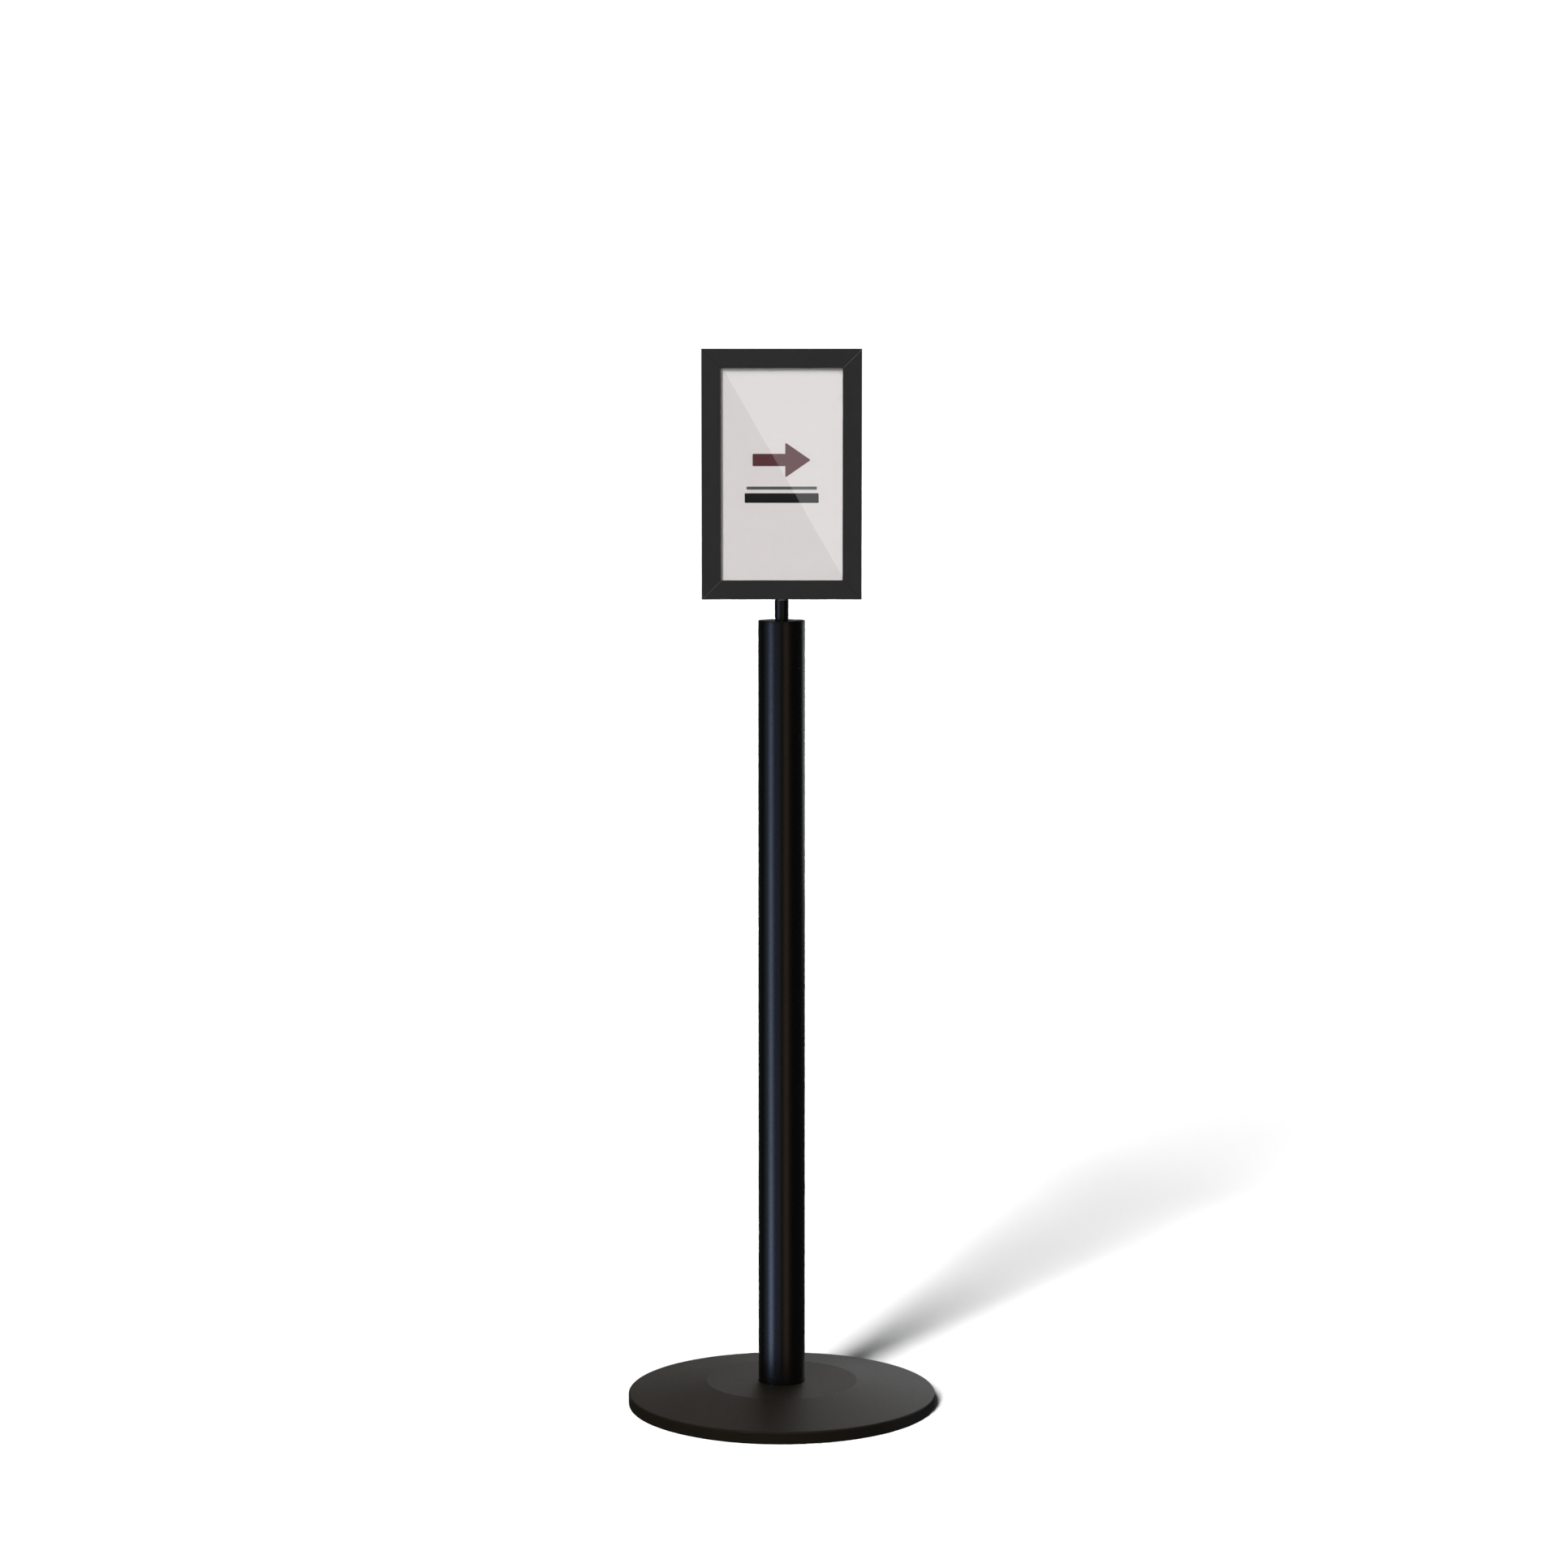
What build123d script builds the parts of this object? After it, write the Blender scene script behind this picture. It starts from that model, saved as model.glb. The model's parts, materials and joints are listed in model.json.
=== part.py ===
from build123d import *
import math
import os

# Sign stand: a weighted round base, a round post and a sign frame that turns on top of it.
# Millimetres, +Z up. The origin is on the floor, under the centre of the base.
# The front of the sign faces -Y, and +X is on the right of a person who faces the sign.

# ---- Driving dimensions ----
BASE_DIAMETER = 355.6          # 14 inches
BASE_TOP = 27.0                # flat middle of the base cover
BASE_FLAT_DIAMETER = 174.8     # where the flat middle meets the sloping part
BASE_SHOULDER = 14.0           # height at which the slope runs out to the side wall
COVER_SHEET = 1.5              # thickness of the pressed steel cover
COVER_EDGE_RADIUS = 2.2

POST_DIAMETER = 53.4
POST_WALL = 1.6
POST_TOP = 909.6               # top of the post cap
CAP_RIM = 3.0                  # height of the cap's flush rim
CAP_EDGE_RADIUS = 1.0

NECK_DIAMETER = 15.5

FRAME_BOTTOM = 933.5
FRAME_WIDTH = 181.6
FRAME_HEIGHT = 282.9
FRAME_DEPTH = 16.0
RAIL_FACE = 21.7               # width of a rail seen from the front
RAIL_WEB = 1.6                 # outer web, the floor of the groove
RAIL_WALL = 1.1                # walls of the two hollow cheeks
GROOVE_WIDTH = 8.4             # room for the lenses and the card
RAIL_EDGE_RADIUS = 0.8
MITRE_GROOVE_DEPTH = 0.35      # the shallow V along each mitre
MITRE_GROOVE_WIDTH = 1.4

LENS_WIDTH = 177.8             # 7 inches
LENS_HEIGHT = 277.5
LENS_THICKNESS = 2.0
CARD_THICKNESS = 3.0           # print on a 3 mm board
INSERT_GAP = 0.35              # play between the card and each lens

# ---- Fits ----
TOUCH = 0.05                   # gap between pieces that are pushed together by hand
RUNNING = 0.05                 # radial play of a shaft that turns in its bush
AXIAL_PLAY = 0.1
SNUG = 0.01                    # radial gap of a thread, or of a bush pressed into its bore
MATCH = 0.01                   # how closely an edge must lie to the place asked for

# ---- Derived positions ----
BASE_RADIUS = BASE_DIAMETER / 2
BASE_FLAT_RADIUS = BASE_FLAT_DIAMETER / 2
POST_RADIUS = POST_DIAMETER / 2
POST_BORE_RADIUS = POST_RADIUS - POST_WALL
NECK_RADIUS = NECK_DIAMETER / 2
TUBE_TOP = POST_TOP - CAP_RIM
SEAT = BASE_TOP - COVER_SHEET                  # top of the iron weight
FRAME_TOP = FRAME_BOTTOM + FRAME_HEIGHT
SLOPE = (BASE_TOP - BASE_SHOULDER) / (BASE_RADIUS - BASE_FLAT_RADIUS)

# ---- Floor ring and weight ----
RING_INNER_RADIUS = 160.0
RING_OUTER_RADIUS = BASE_RADIUS - 0.5
RING_LIP = 1.5                 # the edge that shows below the cover
RING_TOP = 2.5
TONGUE_RADIUS = 167.0
TONGUE_WIDTH = 3.0
TONGUE_HEIGHT = 3.0
WEIGHT_RADIUS = BASE_RADIUS - COVER_SHEET - 0.5
WEIGHT_DRAFT_GAP = 0.3         # between the slope of the iron and the cover
POCKET_INNER_RADIUS = 58.0
POCKET_OUTER_RADIUS = 150.0
POCKET_TOP = 10.0
RIB_COUNT = 6
RIB_WIDTH = 12.0

# ---- Bolt that holds the post to the weight (M12) ----
BOLT_RADIUS = 6.0
BOLT_HEAD_FLATS = 19.0
BOLT_HEAD_HEIGHT = 7.5
BOLT_LENGTH = 35.0
BOLT_HOLE_RADIUS = 6.75
BOLT_POCKET_RADIUS = 23.0
BOLT_SEAT = 16.0
PLATE_WASHER_RADIUS = 18.0
PLATE_WASHER_THICKNESS = 2.5
LOCK_WASHER_RADIUS = 10.5
LOCK_WASHER_THICKNESS = 2.5
LOCK_WASHER_SPLIT = 1.5
FOOT_HEIGHT = 25.0

# ---- Swivel inside the post cap ----
CAP_BOTTOM = 874.0             # underside of the boss
CAP_WEB = 5.0                  # floor of the cap, which the spindle's stud passes through
CAP_BORE_RADIUS = 11.0
CAP_SHELL_RADIUS = 15.0        # boss around the bush
CAP_SKIRT_WALL = 2.4
CAP_SKIRT_STEP = 8.0           # how much shorter the skirt is than the boss
THRUST_WASHER_THICKNESS = 1.0
STUD_RADIUS = 5.0              # M10 stud below the spindle's shoulder
STUD_HOLE_RADIUS = 5.4
STUD_LENGTH = 20.5
DISC_SPRING_RADIUS = 10.0
DISC_SPRING_SHEET = 0.8
DISC_SPRING_CONE = 0.6
RETAINING_WASHER_RADIUS = 10.0
RETAINING_WASHER_THICKNESS = 1.5
LOCK_NUT_FLATS = 17.0
LOCK_NUT_HEIGHT = 7.0
LOCK_NUT_COLLAR_RADIUS = 7.4
LOCK_NUT_COLLAR = 2.5          # height of the collar below the hexagon
LOCK_NUT_COLLAR_WALL = 0.8
LOCK_NUT_COLLAR_FLOOR = 0.6
LOCK_NUT_RING_THICKNESS = 1.5

# ---- Neck fixing in the bottom rail (M5) ----
NECK_WASHER_RADIUS = 7.3
NECK_WASHER_THICKNESS = 1.0
NECK_STUD_RADIUS = 2.5
ANCHOR_LENGTH = 60.0
ANCHOR_WIDTH = 8.0
ANCHOR_THICKNESS = 3.0
PAD_LENGTH = 25.0
PAD_WIDTH = 7.8
PAD_THICKNESS = 3.4
PAD_OFFSET = 62.0

# ---- Corner keys and their set screws (M3) ----
KEY_LEG = 58.0
KEY_PLAY = 0.1
KEY_SCREW_RADIUS = 1.5
KEY_SCREW_LENGTH = 2.5
KEY_SCREW_OFFSET = 40.0        # from the frame's corner along each leg
KEY_SCREW_SOCKET = 1.5         # across flats, and as deep

CHEEK = (FRAME_DEPTH - GROOVE_WIDTH) / 2
CHAMBER_DEPTH = CHEEK - 2 * RAIL_WALL
CHAMBER_MIDDLE = GROOVE_WIDTH / 2 + CHEEK / 2
CHAMBER_FACE = RAIL_FACE - RAIL_WEB - RAIL_WALL
NECK_TOP = FRAME_BOTTOM - NECK_WASHER_THICKNESS
GROOVE_FLOOR = FRAME_BOTTOM + RAIL_WEB
INSERT_BOTTOM = GROOVE_FLOOR + PAD_THICKNESS
THRUST_TOP = CAP_BOTTOM + CAP_WEB + THRUST_WASHER_THICKNESS
SHOULDER = THRUST_TOP + AXIAL_PLAY             # where the spindle steps down to its stud


# ---- Helpers ----
def turned(*points):
    """A solid of revolution about Z from (radius, height) corners."""
    outline = Polyline(*[(radius, 0, height) for radius, height in points], close=True)
    return revolve(make_face(outline), axis=Axis.Z)


def ring(inner_radius, outer_radius, bottom, height):
    """A flat ring, or a disc where the inner radius is zero."""
    body = Pos(0, 0, bottom + height / 2) * Cylinder(outer_radius, height)
    if inner_radius > 0:
        body -= Pos(0, 0, bottom + height / 2) * Cylinder(inner_radius, 2 * height)
    return body


def circles_at(solid, radius, height):
    """The circular edges of a turned solid at one radius and height."""
    found = []
    for edge in solid.edges().filter_by(GeomType.CIRCLE):
        centre = edge.arc_center
        if abs(edge.radius - radius) < MATCH and abs(centre.Z - height) < MATCH:
            found.append(edge)
    return found


def hexagon(flats, bottom, height):
    """A hexagonal prism about Z, with its two end faces turned off to a cone."""
    across_corners = flats / math.cos(math.pi / 6)
    prism = Pos(0, 0, bottom) * extrude(RegularPolygon(across_corners / 2, 6), height)
    drop = (across_corners - flats) * 0.5 * math.tan(math.radians(30))
    barrel = turned(
        (0, bottom),
        (flats / 2, bottom),
        (across_corners / 2, bottom + drop),
        (across_corners / 2, bottom + height - drop),
        (flats / 2, bottom + height),
        (0, bottom + height),
    )
    return prism & barrel


def slope_height(radius):
    """Height of the outside of the cover's slope at a radius."""
    return BASE_TOP - SLOPE * (radius - BASE_FLAT_RADIUS)


# ---- Base ----
def make_base_cover():
    """Pressed steel shell: flat middle, shallow slope, rounded edge and a plain side wall."""
    hole_radius = POST_RADIUS + 0.3
    inner_wall = BASE_RADIUS - COVER_SHEET
    slant = COVER_SHEET * math.hypot(1, SLOPE)
    shell = turned(
        (hole_radius, BASE_TOP),
        (BASE_FLAT_RADIUS, BASE_TOP),
        (BASE_RADIUS, BASE_SHOULDER),
        (BASE_RADIUS, RING_LIP + TOUCH),
        (inner_wall, RING_LIP + TOUCH),
        (inner_wall, slope_height(inner_wall) - slant),
        (BASE_FLAT_RADIUS, SEAT),
        (hole_radius, SEAT),
    )
    shell = fillet(circles_at(shell, BASE_RADIUS, BASE_SHOULDER), COVER_EDGE_RADIUS)
    return fillet(circles_at(shell, hole_radius, BASE_TOP), 0.4)


def make_base_weight():
    """Cast iron disc with a ribbed pocket underneath and a pocket for the bolt."""
    slope_drop = COVER_SHEET * math.hypot(1, SLOPE) + WEIGHT_DRAFT_GAP
    disc = turned(
        (BOLT_HOLE_RADIUS, RING_TOP),
        (WEIGHT_RADIUS, RING_TOP),
        (WEIGHT_RADIUS, slope_height(WEIGHT_RADIUS) - slope_drop),
        (BASE_FLAT_RADIUS, slope_height(BASE_FLAT_RADIUS) - slope_drop),
        (BASE_FLAT_RADIUS - WEIGHT_DRAFT_GAP, SEAT),
        (BOLT_HOLE_RADIUS, SEAT),
    )
    pocket = ring(POCKET_INNER_RADIUS, POCKET_OUTER_RADIUS, RING_TOP, POCKET_TOP - RING_TOP)
    for index in range(RIB_COUNT):
        rib = Pos(POCKET_OUTER_RADIUS / 2, 0, POCKET_TOP / 2)
        rib *= Box(POCKET_OUTER_RADIUS, RIB_WIDTH, POCKET_TOP)
        pocket -= Rot(0, 0, 360 / RIB_COUNT * index) * rib
    groove_inner = TONGUE_RADIUS - TONGUE_WIDTH / 2 - TOUCH
    groove_outer = TONGUE_RADIUS + TONGUE_WIDTH / 2 + TOUCH
    groove = ring(groove_inner, groove_outer, RING_TOP, TONGUE_HEIGHT + TOUCH)
    bolt_pocket = ring(0, BOLT_POCKET_RADIUS, RING_TOP, BOLT_SEAT - RING_TOP)
    return disc - pocket - groove - bolt_pocket


def make_floor_ring():
    """Rubber ring that protects the floor, held by a tongue in the weight."""
    tongue_inner = TONGUE_RADIUS - TONGUE_WIDTH / 2
    tongue_outer = TONGUE_RADIUS + TONGUE_WIDTH / 2
    tongue_top = RING_TOP + TONGUE_HEIGHT
    body = turned(
        (RING_INNER_RADIUS, 0),
        (RING_OUTER_RADIUS, 0),
        (RING_OUTER_RADIUS, RING_LIP),
        (WEIGHT_RADIUS, RING_LIP),
        (WEIGHT_RADIUS, RING_TOP),
        (tongue_outer, RING_TOP),
        (tongue_outer, tongue_top),
        (tongue_inner, tongue_top),
        (tongue_inner, RING_TOP),
        (RING_INNER_RADIUS, RING_TOP),
    )
    return fillet(circles_at(body, RING_OUTER_RADIUS, 0), 0.5)


def make_base_bolt():
    """Hexagon bolt that comes up from under the weight into the foot of the post."""
    head_top = BOLT_SEAT - PLATE_WASHER_THICKNESS - LOCK_WASHER_THICKNESS
    head = hexagon(BOLT_HEAD_FLATS, head_top - BOLT_HEAD_HEIGHT, BOLT_HEAD_HEIGHT)
    shank = ring(0, BOLT_RADIUS, head_top, BOLT_LENGTH)
    shank = chamfer(circles_at(shank, BOLT_RADIUS, head_top + BOLT_LENGTH), 1.0)
    return head + shank


def make_base_plate_washer():
    """Wide flat washer against the iron."""
    bottom = BOLT_SEAT - PLATE_WASHER_THICKNESS
    return ring(BOLT_RADIUS + 0.5, PLATE_WASHER_RADIUS, bottom, PLATE_WASHER_THICKNESS)


def make_base_lock_washer():
    """Split spring washer under the bolt's head, closed flat."""
    bottom = BOLT_SEAT - PLATE_WASHER_THICKNESS - LOCK_WASHER_THICKNESS
    washer = ring(BOLT_RADIUS + 0.3, LOCK_WASHER_RADIUS, bottom, LOCK_WASHER_THICKNESS)
    split = Pos(LOCK_WASHER_RADIUS, 0, bottom) * Rot(30, 0, 0)
    split *= Box(2 * LOCK_WASHER_RADIUS, LOCK_WASHER_SPLIT, 6 * LOCK_WASHER_THICKNESS)
    return washer - split


# ---- Post ----
def make_post_foot():
    """Round plug welded inside the bottom of the tube, tapped for the bolt."""
    plug = ring(BOLT_RADIUS + SNUG, POST_BORE_RADIUS - TOUCH, SEAT, FOOT_HEIGHT)
    return chamfer(circles_at(plug, POST_BORE_RADIUS - TOUCH, SEAT + FOOT_HEIGHT), 1.0)


def make_post_tube():
    """Plain round tube from the weight to the cap."""
    return ring(POST_BORE_RADIUS, POST_RADIUS, SEAT, TUBE_TOP - SEAT)


def make_post_cap():
    """Turned cap: flush rim, skirt inside the tube, and a deep boss for the bush."""
    skirt_radius = POST_BORE_RADIUS - TOUCH
    skirt_inner = skirt_radius - CAP_SKIRT_WALL
    skirt_bottom = CAP_BOTTOM + CAP_SKIRT_STEP
    well_top = TUBE_TOP - CAP_RIM
    floor_top = CAP_BOTTOM + CAP_WEB
    cap = turned(
        (CAP_BORE_RADIUS, POST_TOP),
        (POST_RADIUS, POST_TOP),
        (POST_RADIUS, TUBE_TOP),
        (skirt_radius, TUBE_TOP),
        (skirt_radius, skirt_bottom),
        (skirt_inner, skirt_bottom),
        (skirt_inner, well_top),
        (CAP_SHELL_RADIUS, well_top),
        (CAP_SHELL_RADIUS, CAP_BOTTOM),
        (STUD_HOLE_RADIUS, CAP_BOTTOM),
        (STUD_HOLE_RADIUS, floor_top),
        (CAP_BORE_RADIUS, floor_top),
    )
    cap = fillet(circles_at(cap, POST_RADIUS, POST_TOP), CAP_EDGE_RADIUS)
    return chamfer(circles_at(cap, POST_RADIUS, TUBE_TOP), 0.25)


def make_neck_bush():
    """Nylon bush that the spindle turns in, level with the top of the cap."""
    top = POST_TOP - 0.2
    bush = turned(
        (NECK_RADIUS + RUNNING, THRUST_TOP),
        (CAP_BORE_RADIUS - SNUG, THRUST_TOP),
        (CAP_BORE_RADIUS - SNUG, top),
        (NECK_RADIUS + RUNNING, top),
    )
    return chamfer(circles_at(bush, NECK_RADIUS + RUNNING, top), 0.5)


def make_thrust_washer():
    """Nylon washer that carries the spindle's shoulder."""
    bottom = CAP_BOTTOM + CAP_WEB
    return ring(STUD_HOLE_RADIUS, CAP_BORE_RADIUS - TOUCH, bottom, THRUST_WASHER_THICKNESS)


# ---- Swivel ----
def make_neck_spindle():
    """Solid round neck with an M10 stud below its shoulder and an M5 stud on top."""
    stud_top = GROOVE_FLOOR + ANCHOR_THICKNESS
    spindle = turned(
        (0, SHOULDER - STUD_LENGTH),
        (STUD_RADIUS - 0.8, SHOULDER - STUD_LENGTH),
        (STUD_RADIUS, SHOULDER - STUD_LENGTH + 0.8),
        (STUD_RADIUS, SHOULDER),
        (NECK_RADIUS, SHOULDER),
        (NECK_RADIUS, NECK_TOP),
        (NECK_STUD_RADIUS, NECK_TOP),
        (NECK_STUD_RADIUS, stud_top),
        (0, stud_top),
    )
    return chamfer(circles_at(spindle, NECK_RADIUS, NECK_TOP), 0.3)


def make_disc_spring():
    """Coned spring washer that gives the swivel its drag."""
    bore = STUD_RADIUS + 0.2
    outer_top = CAP_BOTTOM - AXIAL_PLAY
    inner_top = outer_top - DISC_SPRING_CONE
    return turned(
        (bore, inner_top - DISC_SPRING_SHEET),
        (DISC_SPRING_RADIUS, outer_top - DISC_SPRING_SHEET),
        (DISC_SPRING_RADIUS, outer_top),
        (bore, inner_top),
    )


def retaining_washer_top():
    return CAP_BOTTOM - AXIAL_PLAY - DISC_SPRING_CONE - DISC_SPRING_SHEET


def make_retaining_washer():
    """Flat washer between the disc spring and the lock nut."""
    bottom = retaining_washer_top() - RETAINING_WASHER_THICKNESS
    washer_bore = STUD_RADIUS + 0.2
    return ring(washer_bore, RETAINING_WASHER_RADIUS, bottom, RETAINING_WASHER_THICKNESS)


def make_lock_nut():
    """M10 lock nut, with a collar below the hexagon that holds a nylon ring."""
    top = retaining_washer_top() - RETAINING_WASHER_THICKNESS
    body = hexagon(LOCK_NUT_FLATS, top - LOCK_NUT_HEIGHT, LOCK_NUT_HEIGHT)
    collar_bottom = top - LOCK_NUT_HEIGHT - LOCK_NUT_COLLAR
    body += ring(0, LOCK_NUT_COLLAR_RADIUS, collar_bottom, LOCK_NUT_COLLAR + 1.0)
    body -= ring(0, STUD_RADIUS + SNUG, collar_bottom, LOCK_NUT_HEIGHT + LOCK_NUT_COLLAR)
    pocket_radius = LOCK_NUT_COLLAR_RADIUS - LOCK_NUT_COLLAR_WALL
    pocket_bottom = collar_bottom + LOCK_NUT_COLLAR_FLOOR
    return body - ring(0, pocket_radius, pocket_bottom, LOCK_NUT_RING_THICKNESS)


def make_lock_nut_ring():
    """Nylon ring held in the lock nut's collar."""
    top = retaining_washer_top() - RETAINING_WASHER_THICKNESS
    bottom = top - LOCK_NUT_HEIGHT - LOCK_NUT_COLLAR + LOCK_NUT_COLLAR_FLOOR
    outer = LOCK_NUT_COLLAR_RADIUS - LOCK_NUT_COLLAR_WALL - SNUG
    return ring(STUD_RADIUS + SNUG, outer, bottom + SNUG, LOCK_NUT_RING_THICKNESS - 2 * SNUG)


def make_neck_washer():
    """Thin grey nylon washer between the neck and the frame."""
    return ring(NECK_STUD_RADIUS + 0.1, NECK_WASHER_RADIUS, NECK_TOP, NECK_WASHER_THICKNESS)


def make_anchor_plate():
    """Tapped steel bar on the floor of the bottom rail's groove, which the neck screws into."""
    plate = Box(ANCHOR_LENGTH, ANCHOR_WIDTH, ANCHOR_THICKNESS)
    plate = chamfer(plate.edges().filter_by(Axis.Z), 1.0)
    plate -= Cylinder(NECK_STUD_RADIUS + SNUG, 2 * ANCHOR_THICKNESS)
    return Pos(0, 0, GROOVE_FLOOR + ANCHOR_THICKNESS / 2) * plate


def make_rest_pads():
    """Two rubber pads that the lenses and the card stand on, one each side of the anchor."""
    pads = []
    for side in (-1, 1):
        pad = Box(PAD_LENGTH, PAD_WIDTH, PAD_THICKNESS)
        pads.append(Pos(side * PAD_OFFSET, 0, GROOVE_FLOOR + PAD_THICKNESS / 2) * pad)
    return pads


# ---- Frame ----
# A rail is made in its own frame: X runs inwards from the outer edge, Y across the
# depth of the frame, and Z along the rail.
def cheek_section(side):
    """Closed hollow cheek at the front (-1) or the rear (+1)."""
    middle = side * CHAMBER_MIDDLE
    outer = Pos(RAIL_FACE / 2, middle) * Rectangle(RAIL_FACE, CHEEK)
    face_side = outer.vertices().group_by(Axis.Y)[0 if side < 0 else -1]
    outer = fillet(face_side, RAIL_EDGE_RADIUS)
    chamber = Pos(RAIL_WEB + CHAMBER_FACE / 2, middle) * Rectangle(CHAMBER_FACE, CHAMBER_DEPTH)
    return outer - chamber


def channel_section():
    """Two cheeks joined by the outer web, which leaves a groove open on the inside."""
    web = Pos(RAIL_WEB / 2, 0) * Rectangle(RAIL_WEB, GROOVE_WIDTH)
    return cheek_section(-1) + web + cheek_section(1)


def mitre_groove():
    """The diamond bar, along X, whose inner half cuts the V along a mitre."""
    outline = Polyline(
        (0, -MITRE_GROOVE_DEPTH, 0),
        (0, 0, MITRE_GROOVE_WIDTH / 2),
        (0, MITRE_GROOVE_DEPTH, 0),
        (0, 0, -MITRE_GROOVE_WIDTH / 2),
        close=True,
    )
    return extrude(make_face(outline), RAIL_FACE, dir=(1, 0, 0), both=True)


def mitred(section, length):
    """A length of section, cut at 45 degrees at both ends, with a V along each mitre."""
    over = 1.0
    wedge = Polyline(
        (-over, 0, -over),
        (-over, 0, length + over),
        (RAIL_FACE + over, 0, length - RAIL_FACE - over),
        (RAIL_FACE + over, 0, RAIL_FACE + over),
        close=True,
    )
    wedge = extrude(make_face(wedge), FRAME_DEPTH, dir=(0, 1, 0), both=True)
    rail = extrude(section, length) & wedge
    groove = mitre_groove()
    for face in (-FRAME_DEPTH / 2, FRAME_DEPTH / 2):
        rail -= Pos(RAIL_FACE / 2, face, RAIL_FACE / 2) * Rot(0, -45, 0) * groove
        rail -= Pos(RAIL_FACE / 2, face, length - RAIL_FACE / 2) * Rot(0, 45, 0) * groove
    return rail


def key_screw_places():
    """The eight set screws: (x, z) on the rear face, two for each corner."""
    half_width = FRAME_WIDTH / 2
    across = RAIL_WEB + CHAMBER_FACE / 2
    places = []
    for side in (-1, 1):
        for edge, up in ((FRAME_BOTTOM, 1), (FRAME_TOP, -1)):
            places.append((side * (half_width - across), edge + up * KEY_SCREW_OFFSET))
            places.append((side * (half_width - KEY_SCREW_OFFSET), edge + up * across))
    return places


def tapped(rail):
    """Cuts the set screws' holes through the rear face of a rail."""
    rear_wall = FRAME_DEPTH / 2 - RAIL_WALL / 2
    for x, z in key_screw_places():
        hole = Rot(90, 0, 0) * Cylinder(KEY_SCREW_RADIUS + SNUG, 2 * RAIL_WALL)
        rail -= Pos(x, rear_wall, z) * hole
    return rail


def make_bottom_rail():
    """Bottom channel, with a hole for the neck's stud through its web."""
    start = Plane(origin=(-FRAME_WIDTH / 2, 0, FRAME_BOTTOM), x_dir=(0, 0, 1), z_dir=(1, 0, 0))
    rail = start.location * mitred(channel_section(), FRAME_WIDTH)
    hole = Pos(0, 0, GROOVE_FLOOR) * Cylinder(NECK_STUD_RADIUS + 0.2, 3 * RAIL_WEB)
    return tapped(rail - hole)


def make_side_rail(side):
    """Left (-1) or right (+1) channel, with its groove facing the sign."""
    start = Plane(
        origin=(side * FRAME_WIDTH / 2, 0, FRAME_BOTTOM),
        x_dir=(-side, 0, 0),
        z_dir=(0, 0, 1),
    )
    return tapped(start.location * mitred(channel_section(), FRAME_HEIGHT))


def make_top_rail(side):
    """Front (-1) or rear (+1) bar across the top; the gap between the two is the slot."""
    start = Plane(origin=(-FRAME_WIDTH / 2, 0, FRAME_TOP), x_dir=(0, 0, -1), z_dir=(1, 0, 0))
    rail = start.location * mitred(cheek_section(side), FRAME_WIDTH)
    return tapped(rail) if side > 0 else rail


def corner_key():
    """Flat L that slides into the hollow cheeks of two rails; legs along +X and +Z."""
    width = CHAMBER_FACE - 2 * KEY_PLAY
    thickness = CHAMBER_DEPTH - 2 * KEY_PLAY
    start = RAIL_WEB + KEY_PLAY
    outline = Polyline(
        (start, 0, start),
        (KEY_LEG, 0, start),
        (KEY_LEG, 0, start + width),
        (start + width, 0, start + width),
        (start + width, 0, KEY_LEG),
        (start, 0, KEY_LEG),
        close=True,
    )
    key = extrude(make_face(outline), thickness / 2, dir=(0, 1, 0), both=True)
    across = RAIL_WEB + CHAMBER_FACE / 2
    for x, z in ((KEY_SCREW_OFFSET, across), (across, KEY_SCREW_OFFSET)):
        hole = Rot(90, 0, 0) * Cylinder(KEY_SCREW_RADIUS + SNUG, 2 * thickness)
        key -= Pos(x, 0, z) * hole
    return key


def make_corner_keys(side):
    """Four keys in the front (-1) or rear (+1) cheeks, one at each corner."""
    half_width = FRAME_WIDTH / 2
    corners = (
        (-half_width, FRAME_BOTTOM, 0),
        (-half_width, FRAME_TOP, 90),
        (half_width, FRAME_TOP, 180),
        (half_width, FRAME_BOTTOM, 270),
    )
    depth = side * CHAMBER_MIDDLE
    return [Pos(x, depth, z) * Rot(0, turn, 0) * corner_key() for x, z, turn in corners]


def make_key_screws():
    """Flush hexagon-socket set screws, through the rear wall into the rear keys."""
    screw = Cylinder(KEY_SCREW_RADIUS, KEY_SCREW_LENGTH)
    corner_radius = KEY_SCREW_SOCKET / 2 / math.cos(math.pi / 6)
    socket = extrude(RegularPolygon(corner_radius, 6), KEY_SCREW_SOCKET)
    screw -= Pos(0, 0, KEY_SCREW_LENGTH / 2 - KEY_SCREW_SOCKET) * socket
    middle = FRAME_DEPTH / 2 - 0.1 - KEY_SCREW_LENGTH / 2
    return [Pos(x, middle, z) * Rot(-90, 0, 0) * screw for x, z in key_screw_places()]


# ---- Lenses and card ----
def make_lens(side):
    """Clear sheet in front (-1) or behind (+1) the card, with polished edges."""
    lens = Box(LENS_WIDTH, LENS_THICKNESS, LENS_HEIGHT)
    lens = chamfer(lens.edges(), 0.3)
    offset = CARD_THICKNESS / 2 + INSERT_GAP + LENS_THICKNESS / 2
    return Pos(0, side * offset, INSERT_BOTTOM + LENS_HEIGHT / 2) * lens


def make_sign_card():
    """Printed card between the two lenses."""
    card = Box(LENS_WIDTH, CARD_THICKNESS, LENS_HEIGHT)
    return Pos(0, 0, INSERT_BOTTOM + LENS_HEIGHT / 2) * card


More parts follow.
